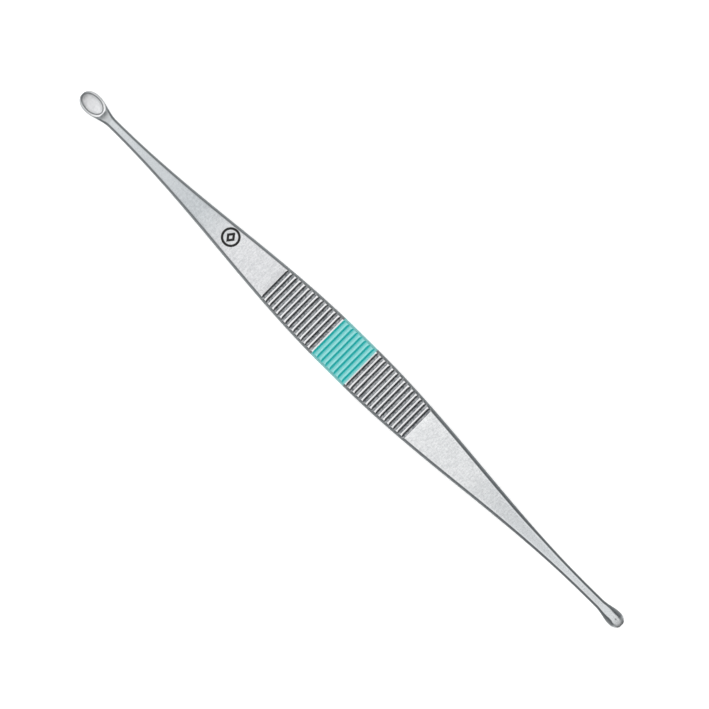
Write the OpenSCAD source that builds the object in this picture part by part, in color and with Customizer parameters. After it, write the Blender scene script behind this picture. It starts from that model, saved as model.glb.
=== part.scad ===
// Double-ended curette: one forged steel bar with a ribbed flat grip, two
// slender necks, an oval cup that opens upwards at one end and a round cup
// that opens downwards at the other. A thin coloured coat fills a shallow
// recess round the middle ribs. The bar runs along X, lies flat on z = 0 and
// is drawn about its middle. Millimetres.

/* [Bar] */
// Length from the tip of the oval cup to the tip of the round cup
overall_length = 140; // [120:1:180]
// Greatest width of the flat grip
handle_width = 9.4; // [7:0.1:13]
// Thickness of the flat grip
handle_thickness = 3.2; // [2.6:0.1:4.5]
// Rounding of the long edges along the grip
handle_edge_radius = 1; // [0.3:0.05:1.2]
// Shift of the widest point along the bar, towards the round cup if positive
blank_offset = -0.55; // [-3:0.05:3]
// Length over which the grip keeps its full width
full_width_length = 4; // [0:0.5:10]
// Length of each taper in width, from the full width to the neck
width_taper_length = 59.5; // [45:0.5:60]
// Distance from the widest point at which the bar starts to get thinner
thinning_start = 30; // [26:0.5:36]
// Length over which the bar gets thinner, down to the neck
thinning_length = 30; // [15:0.5:30]

/* [Neck] */
// Width of both necks
neck_width = 1.94; // [1.6:0.02:2.6]
// Thickness of both necks
neck_thickness = 1.7; // [1.4:0.05:2.2]
// Rounding of the long edges along the necks
neck_edge_radius = 0.8; // [0.2:0.05:0.8]

/* [Oval cup] */
// Widest part of the oval cup
oval_cup_width = 3.88; // [3:0.02:6]
// Distance from the tip to the widest place of the oval cup
oval_cup_centre = 2.87; // [2.2:0.01:4]
// Length over which the oval cup narrows into its neck
oval_cup_flare = 4.8; // [3:0.1:8]
// Length of the hollow, measured on the rim
oval_hollow_length = 4.9; // [3:0.1:5]
// Width of the hollow, measured on the rim
oval_hollow_width = 3.15; // [2:0.05:3.4]
// Depth of the hollow under the rim
oval_hollow_depth = 1; // [0.6:0.05:1.6]
// Distance from the tip to the middle of the hollow
oval_hollow_centre = 2.65; // [2.6:0.01:3.2]
// Share of the half width that the rounding of the back takes at the tip
oval_tip_roundness = 0.5; // [0.1:0.05:0.9]
// How blunt the end of the back is: 1 is a plain ellipse, less is blunter
oval_back_fullness = 0.35; // [0.1:0.05:1]

/* [Round cup] */
// Widest part of the round cup
round_cup_width = 3.08; // [2.4:0.02:5]
// Distance from the tip to the widest place of the round cup
round_cup_centre = 1.7; // [1.4:0.01:3]
// Length over which the round cup narrows into its neck
round_cup_flare = 4.2; // [3:0.1:8]
// Length of the hollow, measured on the rim
round_hollow_length = 2.7; // [1.6:0.1:2.8]
// Width of the hollow, measured on the rim
round_hollow_width = 2.4; // [1.4:0.05:2.6]
// Depth of the hollow under the rim
round_hollow_depth = 1; // [0.6:0.05:1.5]
// Distance from the tip to the middle of the hollow
round_hollow_centre = 1.72; // [1.6:0.01:1.9]
// Share of the half width that the rounding of the back takes at the tip
round_tip_roundness = 0.1; // [0.1:0.05:0.9]
// How blunt the end of the back is: 1 is a plain ellipse, less is blunter
round_back_fullness = 0.1; // [0.1:0.05:1]

/* [Rims, heels and backs] */
// Height of the rim above the face of the neck
rim_step = 0.5; // [0.2:0.05:0.8]
// Depth of the upright band under the rim
rim_land = 0.35; // [0.2:0.05:0.5]
// Rounding of the rim's outer edge, seen from above
rim_edge = 0.12; // [0.06:0.02:0.2]
// Flat of the rim behind the hollow, before the heel
heel_land = 0.3; // [0.1:0.05:0.8]
// Radius of the concave heel between the rim and the neck
heel_radius = 1.5; // [0.9:0.05:2.5]
// How far the back of each cup stands below the back of its neck
back_drop = 0.1; // [0:0.02:0.2]
// Share of the half width that the rounding of the back takes next to the neck
back_roundness = 0.92; // [0.6:0.02:0.92]

/* [Ribs] */
// Number of grooves across each face of the grip
groove_count = 35; // [11:1:41]
// Distance from one groove to the next
groove_pitch = 1.072; // [0.9:0.002:1.3]
// Width of one groove at the face
groove_width = 0.74; // [0.4:0.02:0.8]
// Depth of one groove
groove_depth = 0.2; // [0.1:0.01:0.3]
// Middle of the ribbed length, measured from the middle of the bar
ribs_offset = -1.55; // [-4:0.05:4]

/* [Coloured band] */
// Number of grooves before the band, counted from the oval cup
band_first_groove = 13; // [2:1:20]
// Number of grooves that the band covers
band_groove_count = 8; // [1:1:9]
// Thickness of the coloured coat
coat_thickness = 0.05; // [0.04:0.01:0.08]
// How far the coat runs on past its end grooves
band_margin = 0.01; // [0.01:0.01:0.06]

/* [Hidden] */

// Spacing of the cross-sections along the bar, and inside the band
bar_step = 4;
band_step = 2;
// Cross-sections round the nose of a cup, round its rim, down its heel and
// along the rest of its flare
nose_steps = 9;
rim_steps = 9;
heel_steps = 5;
flare_steps = 4;
// Straight pieces in each rounded corner of a cross-section
corner_steps = 6;
// First angle round the nose, so that the tip ends in a small flat
nose_start = 6;
// Facets round a groove cutter and round a hollow
groove_facets = 36;
hollow_facets = 48;
// Most of the half thickness or half width that an edge rounding may take
edge_share = 0.95;
// Length, as a multiple of the tip distance of the widest place, over which
// the rounding of a back grows from the tip's to the neck's
back_spread = 1.6;
// Least half width of the flat on the open side, where rim and heel meet
flat_least = 0.1;
// Length by which cutters and cores run past what they meet
overrun = 1;

half_length = overall_length / 2;
middle_height = handle_thickness / 2;
groove_radius = (groove_width * groove_width / 4 + groove_depth * groove_depth) / (2 * groove_depth);
ribs_start = ribs_offset - groove_pitch * (groove_count - 1) / 2;
// Half width, at the face, of the wider grooves in the steel under the coat
coat_half = sqrt(pow(groove_radius + coat_thickness, 2) - pow(groove_radius - groove_depth, 2));
band_start = groove_x(band_first_groove) - coat_half - band_margin;
band_end = groove_x(band_first_groove + band_groove_count - 1) + coat_half + band_margin;

// One cup: tip distance of its widest place, half width, flare, hollow
// length, width, depth and centre, and the two shape values of its back
oval_cup = [oval_cup_centre, oval_cup_width / 2, oval_cup_flare,
            oval_hollow_length, oval_hollow_width, oval_hollow_depth, oval_hollow_centre,
            oval_tip_roundness, oval_back_fullness];
round_cup = [round_cup_centre, round_cup_width / 2, round_cup_flare,
             round_hollow_length, round_hollow_width, round_hollow_depth, round_hollow_centre,
             round_tip_roundness, round_back_fullness];

function centre(cup) = cup[0];
function half(cup) = cup[1];
function flare(cup) = cup[2];
function hollow(cup) = [cup[3], cup[4], cup[5]];
function hollow_centre(cup) = cup[6];
function tip_roundness(cup) = cup[7];
function back_fullness(cup) = cup[8];
// Where the flat of the rim ends and the heel begins
function rim_end(cup) = cup[6] + cup[3] / 2 + heel_land;

function mix(a, b, share) = a + (b - a) * share;
// Smooth step from 0 to 1
function ease(t) = (1 - cos(180 * min(max(t, 0), 1))) / 2;
function groove_x(i) = ribs_start + groove_pitch * i;

// The plain bar at a distance u from its widest place
function bar_half(u) =
    mix(handle_width, neck_width, ease((u - full_width_length / 2) / width_taper_length)) / 2;
function thinning(u) = ease((u - thinning_start) / thinning_length);
function bar_depth(u) = mix(handle_thickness, neck_thickness, thinning(u)) / 2;
function bar_edge(u) =
    min(mix(handle_edge_radius, neck_edge_radius, thinning(u)),
        edge_share * bar_depth(u), edge_share * bar_half(u));

// How much of a cross-section belongs to the cup, at a distance d from the tip
function cup_share(cup, d) = 1 - ease((d - centre(cup)) / flare(cup));
// Height of an ellipse quarter from the tip to the widest place of the cup
function nose(cup, d) =
    d < centre(cup) ? sqrt(max(1 - pow(1 - d / centre(cup), 2), pow(sin(nose_start), 2))) : 1;
// Height of the open side above the neck: flat rim, then the concave heel
function heel_run() = sqrt(heel_radius * heel_radius - pow(heel_radius - rim_step, 2));
function rim_rise(cup, d) =
    let (left = rim_end(cup) + heel_run() - d)
    d < rim_end(cup) ? rim_step : left > 0 ? heel_radius - sqrt(heel_radius * heel_radius - left * left) : 0;

// Half width of the rim's oval, which narrows to its end where the heel begins
function rim_half(cup, d) =
    half(cup) * sqrt(max(1 - pow((d - centre(cup)) / (rim_end(cup) - centre(cup)), 2), 0));
// Half width of the flat on the open side: the rim's oval, then the neck's face
function flat_half(cup, d, u, width, tip) =
    d < rim_end(cup)
        ? min(width - rim_edge * tip, d < centre(cup) ? width : max(rim_half(cup, d), flat_least))
        : max((bar_half(u) - bar_edge(u)) * (1 - rim_rise(cup, d) / rim_step), flat_least);
// Share of the half width that the rounding of the back takes
function back_share(cup, d) =
    mix(tip_roundness(cup), back_roundness, ease(d / (centre(cup) * back_spread)));

// One cross-section as [half width, open side, back, open corner, back corner],
// with the sides measured from the bar's middle plane
function section(x) =
    let (cup = x < 0 ? oval_cup : round_cup)
    let (d = half_length - abs(x))
    let (u = abs(x - blank_offset))
    let (share = cup_share(cup, d))
    let (tip = nose(cup, d))
    let (edge = bar_edge(u))
    let (width = (bar_half(u) + (half(cup) - neck_width / 2) * share) * tip)
    let (open_side = bar_depth(u) + rim_rise(cup, d))
    let (widest = bar_depth(u) + mix(-edge, rim_step - rim_land, share))
    let (plain_back = bar_depth(u) + back_drop * share)
    let (back = d < centre(cup) ? (plain_back + widest) * pow(tip, back_fullness(cup)) - widest : plain_back)
    [width, open_side, back,
     [width - flat_half(cup, d, u, width, tip), open_side - widest],
     [mix(edge, width * back_share(cup, d), share), mix(edge, (back + widest) * edge_share, share)]];

// A quarter of the outline, from angle a on, about a corner's own centre
function corner(side_y, side_z, width, depth, size, a) =
    [for (i = [0:corner_steps])
        let (angle = a + 90 * i / corner_steps)
        [side_y * (width - size[0]) + size[0] * cos(angle),
         side_z * (depth - size[1]) + size[1] * sin(angle)]];

// The outline of a cross-section in Y and Z, with an inset for the coat
function outline(x, inset) =
    let (s = section(x))
    let (up = x < 0 ? [s[1], s[3]] : [s[2], s[4]])
    let (down = x < 0 ? [s[2], s[4]] : [s[1], s[3]])
    let (w = s[0] - inset)
    let (shrink = [inset, inset])
    concat(corner(1, 1, w, up[0] - inset, up[1] - shrink, 0),
           corner(-1, 1, w, up[0] - inset, up[1] - shrink, 90),
           corner(-1, -1, w, down[0] - inset, down[1] - shrink, 180),
           corner(1, -1, w, down[0] - inset, down[1] - shrink, 270));

// Distances from a tip at which the cup needs a cross-section
function cup_stations(cup) =
    let (heel_end = rim_end(cup) + heel_run())
    let (flare_end = max(centre(cup) + flare(cup), heel_end + overrun))
    concat([0],
           [for (i = [1:nose_steps]) centre(cup) * (1 - cos(90 * i / nose_steps))],
           [for (i = [1:rim_steps]) mix(centre(cup), rim_end(cup), sin(90 * i / rim_steps))],
           [for (i = [1:heel_steps]) mix(rim_end(cup), heel_end, i / heel_steps)],
           [for (i = [1:flare_steps]) mix(heel_end, flare_end, i / flare_steps)]);
function reversed(list) = [for (i = [len(list) - 1:-1:0]) list[i]];
function between(first, last, step) =
    let (count = ceil((last - first) / step))
    [for (i = [1:count - 1]) mix(first, last, i / count)];

oval_stations = [for (d = cup_stations(oval_cup)) d - half_length];
round_stations = reversed([for (d = cup_stations(round_cup)) half_length - d]);

// A closed solid through the cross-sections at the given places
module loft(stations, inset) {
    rings = [for (x = stations) [for (p = outline(x, inset)) [x, p[0], p[1] + middle_height]]];
    count = len(rings[0]);
    last = len(rings) - 1;
    points = [for (ring = rings) each ring];
    skin = [for (r = [0:last - 1], i = [0:count - 1])
        let (j = (i + 1) % count)
        each [[r * count + i, (r + 1) * count + j, r * count + j],
              [r * count + i, (r + 1) * count + i, (r + 1) * count + j]]];
    first_cap = [for (i = [0:count - 1]) i];
    last_cap = [for (i = [count - 1:-1:0]) last * count + i];
    polyhedron(points = points, faces = concat([first_cap], skin, [last_cap]), convexity = 6);
}

// The part of the bar with the oval cup, up to the band
module oval_end() {
    neck_x = oval_stations[len(oval_stations) - 1];
    loft(concat(oval_stations, between(neck_x, band_start, bar_step), [band_start]), 0);
}

// The part of the bar with the round cup, from the band on
module round_end() {
    neck_x = round_stations[0];
    loft(concat([band_end], between(band_end, neck_x, bar_step), round_stations), 0);
}

// The part of the bar inside the band, with an inset and longer at both ends.
// The cross-sections inside the band are the same for any extra length.
module middle(inset, extra) {
    stations = concat([band_start], between(band_start, band_end, band_step), [band_end]);
    loft(extra > 0 ? concat([band_start - extra], stations, [band_end + extra]) : stations, inset);
}

// Round cutters for some of the grooves, on both faces of the grip
module grooves(first, count, extra_radius) {
    for (i = [first:first + count - 1], side = [-1, 1])
        translate([groove_x(i), 0, middle_height + side * (middle_height + groove_radius - groove_depth)])
            rotate([90, 0, 0])
                cylinder(r = groove_radius + extra_radius, h = handle_width + 2 * overrun,
                         center = true, $fn = groove_facets);
}

// The hollow of a cup: half an ellipsoid below the rim, open beyond it
module cup_hollow(cup) {
    scale([hollow(cup)[0] / 2, hollow(cup)[1] / 2, hollow(cup)[2]])
        sphere(r = 1, $fn = hollow_facets);
}

module curette() {
    after_band = band_first_groove + band_groove_count;
    rim_height = neck_thickness / 2 + rim_step;
    color("silver")
        difference() {
            union() {
                oval_end();
                middle(coat_thickness, 0);
                round_end();
            }
            grooves(0, band_first_groove, 0);
            grooves(band_first_groove, band_groove_count, coat_thickness);
            grooves(after_band, groove_count - after_band, 0);
            translate([hollow_centre(oval_cup) - half_length, 0, middle_height + rim_height])
                cup_hollow(oval_cup);
            translate([half_length - hollow_centre(round_cup), 0, middle_height - rim_height])
                cup_hollow(round_cup);
        }
}

module colour_band() {
    color("mediumturquoise")
        difference() {
            middle(0, 0);
            grooves(band_first_groove, band_groove_count, 0);
            difference() {
                middle(coat_thickness, overrun);
                grooves(band_first_groove, band_groove_count, coat_thickness);
            }
        }
}

curette();
colour_band();
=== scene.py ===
import math

import bmesh
import bpy
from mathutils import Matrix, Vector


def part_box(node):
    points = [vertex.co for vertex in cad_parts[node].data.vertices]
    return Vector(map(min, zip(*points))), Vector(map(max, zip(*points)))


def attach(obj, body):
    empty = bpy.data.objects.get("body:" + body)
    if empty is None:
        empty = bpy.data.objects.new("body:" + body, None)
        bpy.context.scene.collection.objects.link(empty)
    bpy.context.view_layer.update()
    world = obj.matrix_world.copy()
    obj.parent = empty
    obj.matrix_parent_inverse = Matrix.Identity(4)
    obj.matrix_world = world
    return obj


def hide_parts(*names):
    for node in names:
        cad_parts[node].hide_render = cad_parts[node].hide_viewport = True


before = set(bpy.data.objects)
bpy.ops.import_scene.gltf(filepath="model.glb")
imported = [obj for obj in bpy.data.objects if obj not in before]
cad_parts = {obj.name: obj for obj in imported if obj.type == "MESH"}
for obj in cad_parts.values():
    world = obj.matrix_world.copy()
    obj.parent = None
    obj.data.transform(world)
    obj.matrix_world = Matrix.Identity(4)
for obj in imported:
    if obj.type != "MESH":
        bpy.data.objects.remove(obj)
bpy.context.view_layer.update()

MM = 0.001

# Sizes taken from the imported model, in millimetres
low, high = [[v / MM for v in corner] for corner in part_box("curette")]
band_low, band_high = [[v / MM for v in corner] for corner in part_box("colour_band")]
HALF_LENGTH = high[0]
HANDLE_WIDTH = band_high[1] - band_low[1]
HANDLE_THICKNESS = high[2] - low[2]
MIDDLE_HEIGHT = (low[2] + high[2]) / 2
BAND_START = band_low[0]
BAND_END = band_high[0]

# The other sizes of the bar, as in the construction, in millimetres
HANDLE_EDGE_RADIUS = 1.0
BLANK_OFFSET = -0.55
FULL_WIDTH_LENGTH = 4
WIDTH_TAPER_LENGTH = 59.5
THINNING_START = 30
THINNING_LENGTH = 30
NECK_WIDTH = 1.94
NECK_THICKNESS = 1.7
NECK_EDGE_RADIUS = 0.8

OVAL_CUP = dict(centre=2.6, half=1.94, flare=5.07, hollow=(2.45, 1.575, 1.0), hollow_centre=2.65,
                tip_roundness=0.5, fullness=0.35, bluntness=2.3)
ROUND_CUP = dict(centre=1.7, half=1.54, flare=4.2, hollow=(1.35, 1.2, 1.0), hollow_centre=1.72,
                 tip_roundness=0.1, fullness=0.1, bluntness=2.2)

RIM_STEP = 0.5
RIM_LAND = 0.35
HEEL_LAND = 0.3
HEEL_RADIUS = 1.5
BACK_DROP = 0.1
RIM_EDGE = 0.12
BACK_ROUNDNESS = 0.92
BACK_SPREAD = 1.6
EDGE_SHARE = 0.95
FLAT_LEAST = 0.1
NOSE_START = math.radians(2.5)

GROOVE_COUNT = 35
GROOVE_PITCH = 1.072
GROOVE_WIDTH = 0.74
GROOVE_DEPTH = 0.2
RIBS_OFFSET = -1.55
RIB_LIP = 0.16
COAT_LIP = 0.26
BAND_FIRST_GROOVE = 13
BAND_GROOVE_COUNT = 8
COAT_THICKNESS = 0.05

GROOVE_RADIUS = (GROOVE_WIDTH**2 / 4 + GROOVE_DEPTH**2) / (2 * GROOVE_DEPTH)
RIBS_START = RIBS_OFFSET - GROOVE_PITCH * (GROOVE_COUNT - 1) / 2
RIBS_HALF = (GROOVE_PITCH * (GROOVE_COUNT - 1) + GROOVE_WIDTH) / 2

# The plain ring with a lozenge in it that marks the upper face
MARK_PLACE = (-31.87, 0.4)
MARK_RADIUS = 1.84
MARK_LINE = 0.46
LOZENGE_HALF = (0.95, 1.2)
MARK_SUNK = 0.03
MARK_PROUD = 0.012

# How finely the surfaces are drawn
CORNER_STEPS = 12
FLAT_STEPS = 22
SIDE_STEPS = 3
GROOVE_STEPS = 10
LIP_STEPS = 3
BAR_STEP = 1.5
NOSE_STEPS = 26
FLARE_STEPS = 36


def mix(a, b, share):
    return a + (b - a) * share


def ease(t):
    return (1 - math.cos(math.pi * min(max(t, 0), 1))) / 2


# The plain bar at a distance u from its widest place
def bar_half(u):
    return mix(HANDLE_WIDTH, NECK_WIDTH, ease((u - FULL_WIDTH_LENGTH / 2) / WIDTH_TAPER_LENGTH)) / 2


def thinning(u):
    return ease((u - THINNING_START) / THINNING_LENGTH)


def bar_depth(u):
    return mix(HANDLE_THICKNESS, NECK_THICKNESS, thinning(u)) / 2


def bar_edge(u):
    edge = mix(HANDLE_EDGE_RADIUS, NECK_EDGE_RADIUS, thinning(u))
    return min(edge, EDGE_SHARE * bar_depth(u), EDGE_SHARE * bar_half(u))


# The cups, at a distance d from the tip
def nose(cup, d):
    if d >= cup["centre"]:
        return 1
    power = cup["bluntness"]
    return max((1 - (1 - d / cup["centre"]) ** power) ** (1 / power), math.sin(NOSE_START))


def rim_end(cup):
    return cup["hollow_centre"] + cup["hollow"][0] + HEEL_LAND


def heel_run():
    return math.sqrt(HEEL_RADIUS**2 - (HEEL_RADIUS - RIM_STEP) ** 2)


def rim_rise(cup, d):
    left = rim_end(cup) + heel_run() - d
    if d < rim_end(cup):
        return RIM_STEP
    return HEEL_RADIUS - math.sqrt(HEEL_RADIUS**2 - left**2) if left > 0 else 0


def rim_half(cup, d):
    """Half width of the rim's oval, which narrows to nothing where the heel begins."""
    along = (d - cup["centre"]) / (rim_end(cup) - cup["centre"])
    return cup["half"] * math.sqrt(max(1 - along**2, 0))


def flat_half(cup, d, u, width, tip):
    """Half width of the flat on the open side: the rim's oval, then the neck's face."""
    if d < rim_end(cup):
        return min(width - RIM_EDGE * tip, width if d < cup["centre"] else max(rim_half(cup, d), FLAT_LEAST))
    return max((bar_half(u) - bar_edge(u)) * (1 - rim_rise(cup, d) / RIM_STEP), FLAT_LEAST)


def back_share(cup, d):
    """Share of the half width that the rounding of the back takes."""
    return mix(cup["tip_roundness"], BACK_ROUNDNESS, ease(d / (cup["centre"] * BACK_SPREAD)))


def section(x):
    """Half width, open side, back, open corner and back corner of the bar at x."""
    cup = OVAL_CUP if x < 0 else ROUND_CUP
    d = HALF_LENGTH - abs(x)
    u = abs(x - BLANK_OFFSET)
    share = 1 - ease((d - cup["centre"]) / cup["flare"])
    tip = nose(cup, d)
    edge = bar_edge(u)
    width = (bar_half(u) + (cup["half"] - NECK_WIDTH / 2) * share) * tip
    open_side = bar_depth(u) + rim_rise(cup, d)
    widest = bar_depth(u) + mix(-edge, RIM_STEP - RIM_LAND, share)
    back = bar_depth(u) + BACK_DROP * share
    if d < cup["centre"]:
        back = (back + widest) * tip ** cup["fullness"] - widest
    open_corner = (width - flat_half(cup, d, u, width, tip), open_side - widest)
    back_corner = (mix(edge, width * back_share(cup, d), share), mix(edge, (back + widest) * EDGE_SHARE, share))
    return width, open_side, back, open_corner, back_corner


class Groove:
    """One groove's cross-section: an arc with a small rounded lip at each edge.

    extra is how far the surface lies under the finished face."""

    def __init__(self, i, extra):
        coated = BAND_FIRST_GROOVE <= i < BAND_FIRST_GROOVE + BAND_GROOVE_COUNT
        self.middle = RIBS_START + GROOVE_PITCH * i
        self.radius = GROOVE_RADIUS + extra
        self.above = GROOVE_RADIUS - GROOVE_DEPTH + extra
        self.lip = (COAT_LIP if coated else RIB_LIP) - extra
        self.half_width = math.sqrt((self.radius + self.lip) ** 2 - (self.above + self.lip) ** 2)
        self.half_arc = self.half_width * self.radius / (self.radius + self.lip)

    def cut(self, x):
        """How far the face is cut down at x, and how much x belongs to the groove."""
        away = abs(x - self.middle)
        if away >= self.half_width:
            return 0, 0
        if away > self.half_arc:
            share = (self.half_width - away) / (self.half_width - self.half_arc)
            return self.lip - math.sqrt(self.lip**2 - (self.half_width - away) ** 2), share
        return math.sqrt(self.radius**2 - away**2) - self.above, 1

    def places(self):
        """Places along X that draw the groove."""
        lip = [self.half_width - (self.half_width - self.half_arc) * k / LIP_STEPS for k in range(LIP_STEPS)]
        half_angle = math.asin(self.half_arc / self.radius)
        arc = [self.radius * math.sin(half_angle * (2 * k / GROOVE_STEPS - 1)) for k in range(GROOVE_STEPS + 1)]
        return [self.middle + a for a in [-a for a in lip] + arc + list(reversed(lip))]


def groove_at(x, extra):
    """The groove whose middle is nearest to x."""
    i = round((x - RIBS_START) / GROOVE_PITCH)
    return Groove(min(max(i, 0), GROOVE_COUNT - 1), extra)


def half_outline(width, face, corner, cut, groove, hollow):
    """The outline above (or below) the middle, from +Y to -Y.

    Each point is (y, distance from the middle plane, share of a groove, 1 in a hollow).
    hollow is None, or the cup's hollow there, from hollow_at."""
    size_y, size_z = corner
    top = math.asin(min(max((size_z - cut) / size_z, 0), 1))
    side = []
    for i in range(CORNER_STEPS + 1):
        angle = top * i / CORNER_STEPS
        y = width - size_y + size_y * math.cos(angle)
        side.append((y, face - size_z + size_z * math.sin(angle), groove if i == CORNER_STEPS else 0, 0))
    flat_half = side[-1][0]
    level = face - cut
    inner = []
    for i in range(1, FLAT_STEPS):
        t = i / FLAT_STEPS
        if hollow is None:
            inner.append((flat_half * (1 - 2 * t), level, groove, 0))
        else:
            y, depth = hollow(math.pi * (i - 1) / (FLAT_STEPS - 2))
            inside = 0 if i in (1, FLAT_STEPS - 1) else 1
            inner.append((y, level - depth, 0, inside))
    return side + inner + [(-y, *rest) for y, *rest in reversed(side)]


def hollow_at(cup, x):
    """The cup's hollow at x, or None outside it, as a function of the angle across it.

    The function gives the place across the cup and the depth there. The plan is an
    ellipse, and the floor is flatter than a ball's."""
    half_long, half_wide, depth = cup["hollow"]
    along = (HALF_LENGTH - abs(x) - cup["hollow_centre"]) / half_long
    if abs(along) > 1.0001:
        return None
    half_width = half_wide * math.sqrt(max(1 - along**2, 0))

    def point(angle):
        y = half_width * math.cos(angle)
        squared = along**2 + (y / half_wide) ** 2
        return y, depth * math.sqrt(max(1 - squared**2, 0))

    return point


def side_points(x, side, start, end):
    """Points down (side -1) or up (side 1) a flank, between the two corners."""
    first = MIDDLE_HEIGHT - side * start[1]
    last = MIDDLE_HEIGHT + side * end[1]
    return [(x, side * abs(start[0]), mix(first, last, i / SIDE_STEPS), 0, 0) for i in range(1, SIDE_STEPS)]


def ring(x, inset):
    """The closed outline of the bar at x, as points in millimetres with their two shares."""
    width, open_side, back, open_corner, back_corner = section(x)
    cup = OVAL_CUP if x < 0 else ROUND_CUP
    cut, groove = groove_at(x, inset).cut(x)
    halves = []
    for face, corner, hollow in ((open_side, open_corner, hollow_at(cup, x)), (back, back_corner, None)):
        trimmed = (corner[0] - inset, corner[1] - inset)
        halves.append(half_outline(width - inset, face - inset, trimmed, cut, groove, hollow))
    upper, lower = halves if x < 0 else reversed(halves)
    points = [(x, y, MIDDLE_HEIGHT + z, *shares) for y, z, *shares in upper]
    points += side_points(x, -1, upper[-1], lower[-1])
    points += [(x, y, MIDDLE_HEIGHT - z, *shares) for y, z, *shares in reversed(lower)]
    points += side_points(x, 1, lower[0], upper[0])
    return points


def groove_stations(first, count, extra):
    return [x for i in range(first, first + count) for x in Groove(i, extra).places()]


def between(first, last, step):
    count = max(math.ceil((last - first) / step), 1)
    return [mix(first, last, i / count) for i in range(1, count)]


def cup_stations(cup):
    """Distances from the tip at which a cup is drawn."""
    quarter = [math.pi / 2 * i / NOSE_STEPS for i in range(NOSE_STEPS + 1)]
    around = [cup["centre"] * (1 - math.cos(a)) for a in quarter]
    rim = [mix(cup["centre"], rim_end(cup), math.sin(a)) for a in quarter]
    flare = [cup["centre"] + cup["flare"] * i / FLARE_STEPS for i in range(1, FLARE_STEPS + 1)]
    half_long = cup["hollow"][0]
    hollow = [cup["hollow_centre"] + half_long * math.cos(2 * a) for a in quarter]
    hollow += [cup["hollow_centre"] - half_long - 0.01, cup["hollow_centre"] + half_long + 0.01]
    heel = [rim_end(cup) + heel_run() * i / 10 for i in range(11)]
    places = sorted(around + rim + flare + hollow + heel)
    kept = [places[0]]
    for p in places[1:]:
        if p - kept[-1] > 0.004:
            kept.append(p)
    return kept


def skin(rings, closed):
    """Faces between neighbouring rings of equal length; closed joins the last ring to the first."""
    count = len(rings[0])
    faces = []
    for r in range(len(rings) - (0 if closed else 1)):
        here = r * count
        there = (r + 1) % len(rings) * count
        for i in range(count):
            j = (i + 1) % count
            faces.append((here + i, there + i, there + j, here + j))
    return faces


def new_object(name, mesh, sharp):
    """A smooth-shaded object with its normals outward and its sharp edges marked."""
    work = bmesh.new()
    work.from_mesh(mesh)
    bmesh.ops.recalc_face_normals(work, faces=work.faces)
    work.to_mesh(mesh)
    work.free()
    mesh.polygons.foreach_set("use_smooth", [True] * len(mesh.polygons))
    mesh.set_sharp_from_angle(angle=math.radians(sharp))
    made = bpy.data.objects.new(name, mesh)
    bpy.context.scene.collection.objects.link(made)
    return made


def solid(name, rings, closed):
    """A closed mesh through rings, with caps unless the rings close on themselves."""
    faces = skin(rings, closed)
    count = len(rings[0])
    if not closed:
        faces.append(tuple(range(count)))
        faces.append(tuple(reversed(range((len(rings) - 1) * count, len(rings) * count))))
    points = [p for r in rings for p in r]
    mesh = bpy.data.meshes.new(name)
    mesh.from_pydata([[v * MM for v in p[:3]] for p in points], [], faces)
    mesh.attributes.new("groove", "FLOAT", "POINT").data.foreach_set("value", [p[3] for p in points])
    mesh.attributes.new("hollow", "FLOAT", "POINT").data.foreach_set("value", [p[4] for p in points])
    return new_object(name, mesh, 38)


def steel_bar():
    oval = [d - HALF_LENGTH for d in cup_stations(OVAL_CUP)]
    rounded = [HALF_LENGTH - d for d in reversed(cup_stations(ROUND_CUP))]
    after_band = BAND_FIRST_GROOVE + BAND_GROOVE_COUNT
    left = groove_stations(0, BAND_FIRST_GROOVE, 0)
    under = groove_stations(BAND_FIRST_GROOVE, BAND_GROOVE_COUNT, COAT_THICKNESS)
    right = groove_stations(after_band, GROOVE_COUNT - after_band, 0)
    first = oval + between(oval[-1], left[0], BAR_STEP) + left + [BAND_START]
    middle = [BAND_START] + [x for x in under if BAND_START < x < BAND_END] + [BAND_END]
    last = [BAND_END] + right + between(right[-1], rounded[0], BAR_STEP) + rounded
    rings = [ring(x, 0) for x in first]
    rings += [ring(x, COAT_THICKNESS) for x in middle]
    rings += [ring(x, 0) for x in last]
    return solid("steel_bar", rings, False)


def band_coat():
    shells = []
    for inset in (0, COAT_THICKNESS):
        places = groove_stations(BAND_FIRST_GROOVE, BAND_GROOVE_COUNT, inset)
        places = [BAND_START] + [x for x in places if BAND_START < x < BAND_END] + [BAND_END]
        shells.append([ring(x, inset) for x in places])
    return solid("band_coat", shells[0] + list(reversed(shells[1])), True)


def face_mark():
    """The dark ring and the lozenge inside it, a thin layer on the upper face."""
    work = bmesh.new()
    steps = 96
    turns = [2 * math.pi * i / steps for i in range(steps)]
    outer = [(MARK_RADIUS * math.cos(a), MARK_RADIUS * math.sin(a)) for a in turns]
    inner = [((MARK_RADIUS - MARK_LINE) * math.cos(a), (MARK_RADIUS - MARK_LINE) * math.sin(a)) for a in turns]
    add_frame(work, outer, inner)
    corners = [(LOZENGE_HALF[0], 0), (0, LOZENGE_HALF[1]), (-LOZENGE_HALF[0], 0), (0, -LOZENGE_HALF[1])]
    thinner = 1 - MARK_LINE * math.hypot(*LOZENGE_HALF) / (LOZENGE_HALF[0] * LOZENGE_HALF[1])
    add_frame(work, corners, [(x * thinner, y * thinner) for x, y in corners])
    mesh = bpy.data.meshes.new("face_mark")
    work.to_mesh(mesh)
    work.free()
    return new_object("face_mark", mesh, 30)


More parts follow.
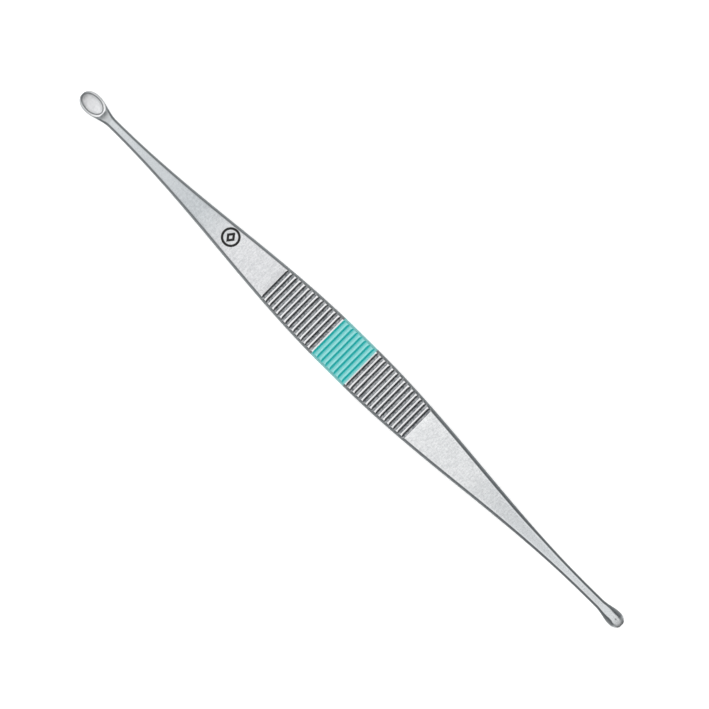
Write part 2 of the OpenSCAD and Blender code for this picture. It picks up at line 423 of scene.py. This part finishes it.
def add_frame(work, outer, inner):
    """A flat closed frame between two outlines, on the face of the bar at the mark's place."""
    loops = []
    for outline, lift in ((outer, MARK_PROUD), (inner, MARK_PROUD), (inner, -MARK_SUNK), (outer, -MARK_SUNK)):
        loop = []
        for x, y in outline:
            place = MARK_PLACE[0] + x
            level = MIDDLE_HEIGHT + bar_depth(abs(place - BLANK_OFFSET)) + lift
            loop.append(work.verts.new((place * MM, (MARK_PLACE[1] + y) * MM, level * MM)))
        loops.append(loop)
    count = len(outer)
    for here, there in zip(loops, loops[1:] + loops[:1]):
        for i in range(count):
            j = (i + 1) % count
            work.faces.new((here[i], here[j], there[j], there[i]))


bar = steel_bar()
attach(bar, "root")
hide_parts("curette")
coat = band_coat()
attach(coat, "root")
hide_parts("colour_band")
mark = face_mark()
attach(mark, "root")


# Materials

def new_material(name):
    material = bpy.data.materials.new(name)
    material.use_nodes = True
    return material, material.node_tree.nodes, material.node_tree.links


def ramp(nodes, links, source, stops):
    """A colour ramp over a value; each stop is (position, grey or colour)."""
    node = nodes.new("ShaderNodeValToRGB")
    while len(node.color_ramp.elements) < len(stops):
        node.color_ramp.elements.new(1)
    for element, (position, tone) in zip(node.color_ramp.elements, stops):
        element.position = position
        element.color = (*tone, 1) if isinstance(tone, tuple) else (tone, tone, tone, 1)
    links.new(source, node.inputs["Fac"])
    return node.outputs["Color"]


def map_range(nodes, links, source, low_in, high_in, low_out, high_out):
    node = nodes.new("ShaderNodeMapRange")
    node.interpolation_type = "SMOOTHSTEP"
    for key, value in (("From Min", low_in), ("From Max", high_in), ("To Min", low_out), ("To Max", high_out)):
        node.inputs[key].default_value = value
    links.new(source, node.inputs["Value"])
    return node.outputs["Result"]


def calculate(nodes, links, operation, first, second=0):
    node = nodes.new("ShaderNodeMath")
    node.operation = operation
    for socket, value in zip(node.inputs, (first, second)):
        if isinstance(value, (int, float)):
            socket.default_value = value
        else:
            links.new(value, socket)
    return node.outputs[0]


def mixed(nodes, links, share, first, second):
    """A colour between two colours, by a value."""
    node = nodes.new("ShaderNodeMix")
    node.data_type = "RGBA"
    links.new(share, node.inputs[0])
    for socket, value in ((node.inputs[6], first), (node.inputs[7], second)):
        if isinstance(value, tuple):
            socket.default_value = (*value, 1)
        else:
            links.new(value, socket)
    return node.outputs[2]


def noise(nodes, links, coordinates, grain, detail, stretch=(1, 1, 1)):
    """Noise whose features are about grain millimetres wide."""
    mapping = nodes.new("ShaderNodeMapping")
    mapping.inputs["Scale"].default_value = [s / (grain * MM) for s in stretch]
    links.new(coordinates, mapping.inputs["Vector"])
    node = nodes.new("ShaderNodeTexNoise")
    node.inputs["Scale"].default_value = 1
    node.inputs["Detail"].default_value = detail
    links.new(mapping.outputs[0], node.inputs["Vector"])
    return node.outputs["Fac"]


def attribute(nodes, name):
    node = nodes.new("ShaderNodeAttribute")
    node.attribute_name = name
    return node.outputs["Fac"]


def separated(nodes, links, vector):
    node = nodes.new("ShaderNodeSeparateXYZ")
    links.new(vector, node.inputs[0])
    return node.outputs["X"], node.outputs["Y"], node.outputs["Z"]


def add_grain(nodes, links, shader, grain, strength):
    """A fine matt grain in the surface."""
    bump = nodes.new("ShaderNodeBump")
    bump.inputs["Strength"].default_value = strength
    bump.inputs["Distance"].default_value = 0.02 * MM
    links.new(grain, bump.inputs["Height"])
    links.new(bump.outputs[0], shader.inputs["Normal"])


# The sideways part of the normal over which a face turns into a flank, and the
# upward parts over which the bar turns into its end, the floor of a hollow into
# its wall, and the level rim into its rounded edge
FLANK_TURN = (0.37, 0.54)
END_TURN = (0.22, 0.4)
HOLLOW_TURN = (0.5, 0.68)
HOLLOW_WALL_SHADE = 0.85
RIM_TURN = (0.93, 0.99)

# Tones of the steel, as linear colour. Only the plain face tone and the spots are the steel's own; the rest are
# painted light and shade: lit and shaded faces, highlights on the crests, the rim and the hollow's floor, and
# shade in the grooves, on the flanks, at the heel and at the tips
FACE = (0.84, 0.845, 0.86)
SHADED_LEFT_TAPER = (0.605, 0.635, 0.655)
SHADED_LEFT_NECK = (0.685, 0.715, 0.73)
HEEL_SHADE_LINE = (0.37, 0.39, 0.4)
HEEL_SHADE = (0.74, 0.76, 0.77)
LIT_RIGHT_FACE = (0.91, 0.92, 0.93)
SHADED_RIGHT_TAPER = (0.8, 0.83, 0.85)
SHADED_RIGHT_NECK = (0.75, 0.775, 0.79)
SHADED_ROUND_TIP = (0.74, 0.76, 0.77)
FLANK_SHADE = (0.17, 0.185, 0.19)
DARK_FLANK_SHADE = (0.1, 0.11, 0.115)
TIP_FLANK_SHADE = (0.4, 0.42, 0.43)
CREST_HIGHLIGHT = (0.98, 0.98, 0.99)
DARK_GROOVE_SHADE = (0.115, 0.125, 0.135)
GROOVE_SHADE = (0.4, 0.41, 0.42)
LIT_HOLLOW_FLOOR = (0.97, 0.975, 0.985)
SHADED_RIM_SIDE = (0.62, 0.63, 0.64)
SHADED_RIM_TIP = (0.12, 0.13, 0.14)
SPOT = (0.25, 0.27, 0.29)

# Where the painted light and shade of the face lie along the bar, in millimetres
FACE_LIGHT_AND_SHADE = [(-64.5, HEEL_SHADE_LINE), (-64.1, HEEL_SHADE), (-63.7, HEEL_SHADE), (-62.7, SHADED_LEFT_NECK), (-52, SHADED_LEFT_TAPER),
              (-39.5, SHADED_LEFT_TAPER), (-30, FACE), (0, FACE), (15, LIT_RIGHT_FACE), (31, LIT_RIGHT_FACE), (45, SHADED_RIGHT_TAPER),
              (56, SHADED_RIGHT_TAPER), (62, SHADED_RIGHT_NECK), (67.6, SHADED_RIGHT_NECK), (68.8, SHADED_ROUND_TIP)]
# Painted highlight and shade on the rim of the oval cup, and painted shade on the flanks, along the bar
RIM_LIGHT_AND_SHADE = [(-69.7, SHADED_RIM_TIP), (-69.4, SHADED_RIM_SIDE), (-66.6, SHADED_RIM_SIDE), (-65.3, CREST_HIGHLIGHT)]
FLANK_SHADE_TONES = [(-20, FLANK_SHADE), (45, DARK_FLANK_SHADE)]

# The tongue of painted light in which the face ends on the back of the round cup, with
# painted shade about it, and a small dark spot in it, as (place) and (half length, half width)
LIT_TONGUE = ((68.0, -0.12), (2.0, 0.75))
TONGUE_SPOT = ((68.36, 0.03), (0.26, 0.2))

# The middle and the half sizes of the oval cup's hollow, seen from above
HOLLOW_PLAN = ((OVAL_CUP["hollow_centre"] - HALF_LENGTH, 0), OVAL_CUP["hollow"][:2])

# How rough the steel is on its faces, and in the hollow and heel of the oval cup
SATIN = 0.3
MATT = 0.6
HOLLOW_SHINE = 0.9


def from_place(nodes, links, along, across, place, half):
    """Distance from a place on the bar, as a share of an ellipse's half sizes."""
    squares = []
    for value, centre, size in zip((along, across), place, half):
        value = calculate(nodes, links, "SUBTRACT", value, centre * MM)
        value = calculate(nodes, links, "MULTIPLY", value, 1 / (size * MM))
        squares.append(calculate(nodes, links, "MULTIPLY", value, value))
    return calculate(nodes, links, "SQRT", calculate(nodes, links, "ADD", *squares))


def along_the_bar(stops):
    """Stops given in millimetres along X, as shares of the whole length."""
    return [(0.5 + x / (2 * HALF_LENGTH), tone) for x, tone in stops]


def steel():
    material, nodes, links = new_material("satin steel")
    shader = nodes["Principled BSDF"]
    coordinates = nodes.new("ShaderNodeTexCoord")
    place = coordinates.outputs["Object"]
    along, across, _ = separated(nodes, links, place)
    groove = attribute(nodes, "groove")
    hollow = attribute(nodes, "hollow")
    mottle = noise(nodes, links, place, 0.7, 3)
    speckle = noise(nodes, links, place, 0.35, 2)
    streak = noise(nodes, links, place, 0.3, 2, (1, 0.3, 1))
    grain = noise(nodes, links, place, 0.12, 2)
    _, sideways, up = separated(nodes, links, coordinates.outputs["Normal"])
    upright = calculate(nodes, links, "ABSOLUTE", up)
    # Painted shade: beside the right flat the dark band on the +Y edge reaches further in
    wider_edge_shade = calculate(nodes, links, "MULTIPLY", map_range(nodes, links, along, 0.014, 0.018, 0, 0.14),
                      map_range(nodes, links, along, 0.040, 0.050, 1, 0))
    wider_edge_shade = calculate(nodes, links, "MULTIPLY", wider_edge_shade, map_range(nodes, links, sideways, 0.05, 0.15, 0, 1))
    sideways = calculate(nodes, links, "ADD", calculate(nodes, links, "ABSOLUTE", sideways), wider_edge_shade)
    # Painted light and shade along the bar: the tapers are darker than the flats beside the ribs
    share = calculate(nodes, links, "MULTIPLY_ADD", along, 0.5 / (HALF_LENGTH * MM))
    share.node.inputs[2].default_value = 0.5
    tone = ramp(nodes, links, share, along_the_bar(FACE_LIGHT_AND_SHADE))
    # Painted highlight on the level rim of the oval cup, and painted shade at its thin tip
    rim = map_range(nodes, links, along, -0.0648, -0.06472, 1, 0)
    rim = calculate(nodes, links, "MULTIPLY", rim, map_range(nodes, links, upright, *RIM_TURN, 0, 1))
    tone = mixed(nodes, links, rim, tone, ramp(nodes, links, share, along_the_bar(RIM_LIGHT_AND_SHADE)))
    # Painted light: the floor of the hollow is made lighter than the face
    tone = mixed(nodes, links, hollow, tone, LIT_HOLLOW_FLOOR)
    # Painted highlight on top of the ribs; the grooves get painted shade further on
    from_middle = calculate(nodes, links, "ABSOLUTE", calculate(nodes, links, "SUBTRACT", along, RIBS_OFFSET * MM))
    ribbed = map_range(nodes, links, from_middle, (RIBS_HALF + 0.1) * MM, (RIBS_HALF + 0.2) * MM, 1, 0)
    tone = mixed(nodes, links, ribbed, tone, CREST_HIGHLIGHT)
    # Painted shade on the flanks, darker than the faces, most of all at the necks
    shade_share = map_range(nodes, links, sideways, *FLANK_TURN, 0, 1)
    end = map_range(nodes, links, upright, *END_TURN, 1, 0)
    shade_share = calculate(nodes, links, "MAXIMUM", shade_share, end)
    # Painted shade on the back of the round cup, round the tongue of light in which the face ends, with a small
    # spot
    beyond = calculate(nodes, links, "MAXIMUM", along, LIT_TONGUE[0][0] * MM)
    round_back = calculate(nodes, links, "MULTIPLY", map_range(nodes, links, along, 0.0655, 0.0675, 0, 1),
                           map_range(nodes, links, up, 0, 0.1, 0, 1))
    beside = map_range(nodes, links, from_place(nodes, links, beyond, across, *LIT_TONGUE), 0.75, 1.2, 0, 1)
    shade_share = calculate(nodes, links, "MAXIMUM", shade_share, calculate(nodes, links, "MULTIPLY", beside, round_back))
    spot = map_range(nodes, links, from_place(nodes, links, along, across, *TONGUE_SPOT), 0.4, 1, 0.7, 0)
    shade_share = calculate(nodes, links, "MAXIMUM", shade_share, calculate(nodes, links, "MULTIPLY", spot, round_back))
    # Painted shade on the steep wall of the hollow, as wide at its heel end, fading at the tip
    steep = calculate(nodes, links, "SUBTRACT", upright, map_range(nodes, links, along, -0.0667, -0.0652, 0, 0.12))
    wall = map_range(nodes, links, steep, *HOLLOW_TURN, HOLLOW_WALL_SHADE, 0)
    wall = calculate(nodes, links, "MULTIPLY", wall, map_range(nodes, links, along, -0.0698, -0.068, 0, 1))
    shade_share = mixed(nodes, links, hollow, shade_share, wall)
    # Round the tip of the oval cup the edge of the hollow gets a line of painted shade
    outward = from_place(nodes, links, along, across, *HOLLOW_PLAN)
    tip_line_shade = calculate(nodes, links, "MULTIPLY", map_range(nodes, links, outward, 0.9, 0.98, 0, 0.85),
                     map_range(nodes, links, outward, 1.03, 1.09, 1, 0))
    tip_line_shade = calculate(nodes, links, "MULTIPLY", tip_line_shade, map_range(nodes, links, along, -0.0692, -0.0680, 1, 0))
    tip_line_shade = calculate(nodes, links, "MULTIPLY", tip_line_shade, map_range(nodes, links, up, 0, 0.1, 0, 1))
    shade_share = calculate(nodes, links, "MAXIMUM", shade_share, tip_line_shade)
    plain = calculate(nodes, links, "SUBTRACT", 1, groove)
    flank_shade_tone = ramp(nodes, links, share, along_the_bar(FLANK_SHADE_TONES))
    # Lighter painted shade on the flank at the tip of the round cup
    tip = calculate(nodes, links, "MULTIPLY", map_range(nodes, links, along, 0.0685, 0.0693, 0, 1),
                    map_range(nodes, links, up, 0.05, 0.3, 0, 1))
    flank_shade_tone = mixed(nodes, links, tip, flank_shade_tone, TIP_FLANK_SHADE)
    tone = mixed(nodes, links, calculate(nodes, links, "MULTIPLY", shade_share, plain), tone, flank_shade_tone)
    # Painted shade in the grooves, darker in random specks
    specks = map_range(nodes, links, speckle, 0.33, 0.67, 0, 1)
    tone = mixed(nodes, links, groove, tone, mixed(nodes, links, specks, DARK_GROOVE_SHADE, GROOVE_SHADE))
    # Fine cloudy spots and faint streaks across the bar, least on the necks, the
    # ribs and the floor of the hollow
    spots = map_range(nodes, links, mottle, 0.3, 0.7, 0, 0.06)
    spots = calculate(nodes, links, "ADD", spots, map_range(nodes, links, speckle, 0.3, 0.7, 0, 0.17))
    spots = calculate(nodes, links, "ADD", spots, map_range(nodes, links, streak, 0.35, 0.65, 0, 0.14))
    cleaner = calculate(nodes, links, "MAXIMUM", hollow, calculate(nodes, links, "MULTIPLY", ribbed, plain))
    cleaner = calculate(nodes, links, "MAXIMUM", cleaner, map_range(nodes, links, from_middle, 0.038, 0.05, 0, 1))
    spots = calculate(nodes, links, "MULTIPLY", spots, map_range(nodes, links, cleaner, 0, 1, 1, 0.5))
    tone = mixed(nodes, links, spots, tone, SPOT)
    links.new(tone, shader.inputs["Base Color"])
    # The hollow is blasted matt, and the heel behind it is left rough
    heel = calculate(nodes, links, "MULTIPLY", map_range(nodes, links, along, -0.0647, -0.0645, 0, 1),
                     map_range(nodes, links, along, -0.0632, -0.0622, 1, 0))
    matt = calculate(nodes, links, "MAXIMUM", heel, hollow)
    rough = map_range(nodes, links, grain, 0.3, 0.7, -0.05, 0.05)
    rough = calculate(nodes, links, "ADD", rough, map_range(nodes, links, matt, 0, 1, SATIN, MATT))
    links.new(rough, shader.inputs["Roughness"])
    links.new(map_range(nodes, links, hollow, 0, 1, 1, HOLLOW_SHINE), shader.inputs["Metallic"])
    add_grain(nodes, links, shader, grain, 0.12)
    return material


# Tones of the lacquer, as linear colour: the coat's own colour, then a deeper tone for its random mottle and for
# painted shade in the grooves, a painted-light tone for the groove walls that face the oval cup, and painted shade
# for the sides
LACQUER = (0.33, 0.91, 0.895)
DEEP_LACQUER_AND_SHADE = (0.0, 0.57, 0.555)
LIT_WALL_LACQUER = (0.135, 0.65, 0.64)
SIDE_SHADE_LACQUER = (0.09, 0.5, 0.49)


def lacquer():
    material, nodes, links = new_material("teal lacquer")
    shader = nodes["Principled BSDF"]
    shader.inputs["IOR"].default_value = 2
    shader.inputs["Roughness"].default_value = 0.14
    coordinates = nodes.new("ShaderNodeTexCoord")
    place = coordinates.outputs["Object"]
    mottle = noise(nodes, links, place, 0.5, 3)
    tone = mixed(nodes, links, map_range(nodes, links, mottle, 0.3, 0.7, 0, 0.2), LACQUER, DEEP_LACQUER_AND_SHADE)
    # Painted light and shade in each groove: lighter on the wall that faces the oval cup, darker elsewhere in it
    facing, sideways, _ = separated(nodes, links, coordinates.outputs["Normal"])
    wall_shade = map_range(nodes, links, facing, -0.5, -0.05, 0, 1)
    groove_light_and_shade = mixed(nodes, links, wall_shade, LIT_WALL_LACQUER, DEEP_LACQUER_AND_SHADE)
    tone = mixed(nodes, links, attribute(nodes, "groove"), tone, groove_light_and_shade)
    # Painted shade on the sides of the coat
    side = map_range(nodes, links, calculate(nodes, links, "ABSOLUTE", sideways), 0.35, 0.6, 0, 1)
    tone = mixed(nodes, links, side, tone, SIDE_SHADE_LACQUER)
    links.new(tone, shader.inputs["Base Color"])
    add_grain(nodes, links, shader, noise(nodes, links, place, 0.15, 2), 0.1)
    return material


def dark_mark():
    material, nodes, links = new_material("dark mark")
    shader = nodes["Principled BSDF"]
    shader.inputs["Roughness"].default_value = 0.6
    place = nodes.new("ShaderNodeTexCoord").outputs["Object"]
    grain = noise(nodes, links, place, 0.1, 2)
    links.new(ramp(nodes, links, grain, [(0.3, 0.001), (0.7, 0.004)]), shader.inputs["Base Color"])
    return material


bar.data.materials.append(steel())
coat.data.materials.append(lacquer())
mark.data.materials.append(dark_mark())


# Floor, backdrop, light and camera

STAGE_RADIUS = 3.0
BACKDROP_HEIGHT = 0.4


def white_to_the_eye():
    """A matt white that also glows for the camera, so that the background is plain white."""
    material, nodes, links = new_material("white ground")
    shader = nodes["Principled BSDF"]
    shader.inputs["Base Color"].default_value = (0.9, 0.9, 0.9, 1)
    shader.inputs["Roughness"].default_value = 0.9
    glow = nodes.new("ShaderNodeEmission")
    glow.inputs["Color"].default_value = (1, 1, 1, 1)
    glow.inputs["Strength"].default_value = 0.56
    both = nodes.new("ShaderNodeAddShader")
    links.new(shader.outputs[0], both.inputs[0])
    links.new(glow.outputs[0], both.inputs[1])
    path = nodes.new("ShaderNodeLightPath")
    seen = calculate(nodes, links, "MAXIMUM", path.outputs["Is Camera Ray"], path.outputs["Is Glossy Ray"])
    seen = calculate(nodes, links, "MAXIMUM", seen, path.outputs["Is Transmission Ray"])
    choose = nodes.new("ShaderNodeMixShader")
    links.new(seen, choose.inputs[0])
    links.new(shader.outputs[0], choose.inputs[1])
    links.new(both.outputs[0], choose.inputs[2])
    links.new(choose.outputs[0], nodes["Material Output"].inputs["Surface"])
    return material


def ground():
    """A round floor with a low wall about it."""
    steps = 128
    turns = [2 * math.pi * i / steps for i in range(steps)]
    edge = [(STAGE_RADIUS * math.cos(a), STAGE_RADIUS * math.sin(a)) for a in turns]
    white = white_to_the_eye()
    floor = bpy.data.meshes.new("floor")
    floor.from_pydata([(x, y, 0) for x, y in edge], [], [tuple(range(steps))])
    wall = bpy.data.meshes.new("backdrop")
    points = [(x, y, 0) for x, y in edge] + [(x, y, BACKDROP_HEIGHT) for x, y in edge]
    faces = [(i, steps + i, steps + (i + 1) % steps, (i + 1) % steps) for i in range(steps)]
    wall.from_pydata(points, [], faces)
    for mesh in (floor, wall):
        mesh.materials.append(white)
        made = bpy.data.objects.new(mesh.name, mesh)
        bpy.context.scene.collection.objects.link(made)


# Strength of the light by direction, from -X at 0 to +X at 1: bright overhead
# down to a height between the two sines, and dimmer below it
HIGH_LIGHT = [(0, 1.5), (0.26, 1.45), (0.4, 1.1), (0.54, 1.0), (0.62, 0.6), (0.72, 0.2), (1, 0.02)]
LOW_LIGHT = [(0, 1.3), (0.2, 1.0), (0.42, 0.38), (0.58, 0.26), (1, 0.02)]
LIGHT_HEIGHTS = (0.55, 0.78)

# Away from the bar's own direction, over this range of |y|, the light is even
EVEN_LIGHT = (0.2, 0.42)
SIDE_LIGHT = (0.7, 0.7, 0.7)


def sky():
    """Soft light: a large bright patch overhead and a dimmer surround, brighter from the -X side."""
    made = bpy.data.worlds.new("studio")
    bpy.context.scene.world = made
    made.use_nodes = True
    nodes, links = made.node_tree.nodes, made.node_tree.links
    x, y, z = separated(nodes, links, nodes.new("ShaderNodeTexCoord").outputs["Generated"])
    even = map_range(nodes, links, calculate(nodes, links, "ABSOLUTE", y), *EVEN_LIGHT, 0, 1)
    x = calculate(nodes, links, "MULTIPLY", x, calculate(nodes, links, "SUBTRACT", 1, even))
    side = calculate(nodes, links, "MULTIPLY_ADD", x, 0.5)
    side.node.inputs[2].default_value = 0.5
    share = map_range(nodes, links, z, *LIGHT_HEIGHTS, 0, 1)
    low_light = mixed(nodes, links, even, ramp(nodes, links, side, LOW_LIGHT), SIDE_LIGHT)
    total = mixed(nodes, links, share, low_light, ramp(nodes, links, side, HIGH_LIGHT))
    links.new(total, nodes["Background"].inputs["Color"])


# The camera looks straight down. The object's middle, its direction and its
# length in the 709 x 709 photograph set the camera's place, turn and distance.
PHOTO_SIZE = 709
PHOTO_MIDDLE = (352.15, 359.83)
PHOTO_LENGTH = 758.06
PHOTO_ANGLE = math.radians(44.583)
LENS = 190
SENSOR = 36


def camera():
    mm_per_pixel = 2 * HALF_LENGTH / PHOTO_LENGTH
    right = (PHOTO_SIZE / 2 - PHOTO_MIDDLE[0]) * mm_per_pixel
    down = (PHOTO_SIZE / 2 - PHOTO_MIDDLE[1]) * mm_per_pixel
    aim_x = right * math.cos(PHOTO_ANGLE) + down * math.sin(PHOTO_ANGLE)
    aim_y = right * math.sin(PHOTO_ANGLE) - down * math.cos(PHOTO_ANGLE)
    distance = PHOTO_SIZE * mm_per_pixel * LENS / SENSOR
    data = bpy.data.cameras.new("camera")
    data.lens = LENS
    data.sensor_width = SENSOR
    data.clip_start = 0.01
    data.clip_end = 10
    made = bpy.data.objects.new("camera", data)
    made.location = (aim_x * MM, aim_y * MM, (high[2] + distance) * MM)
    made.rotation_euler = (0, 0, PHOTO_ANGLE)
    bpy.context.scene.collection.objects.link(made)
    bpy.context.scene.camera = made


ground()
sky()
camera()
bpy.context.scene.view_settings.view_transform = "Standard"
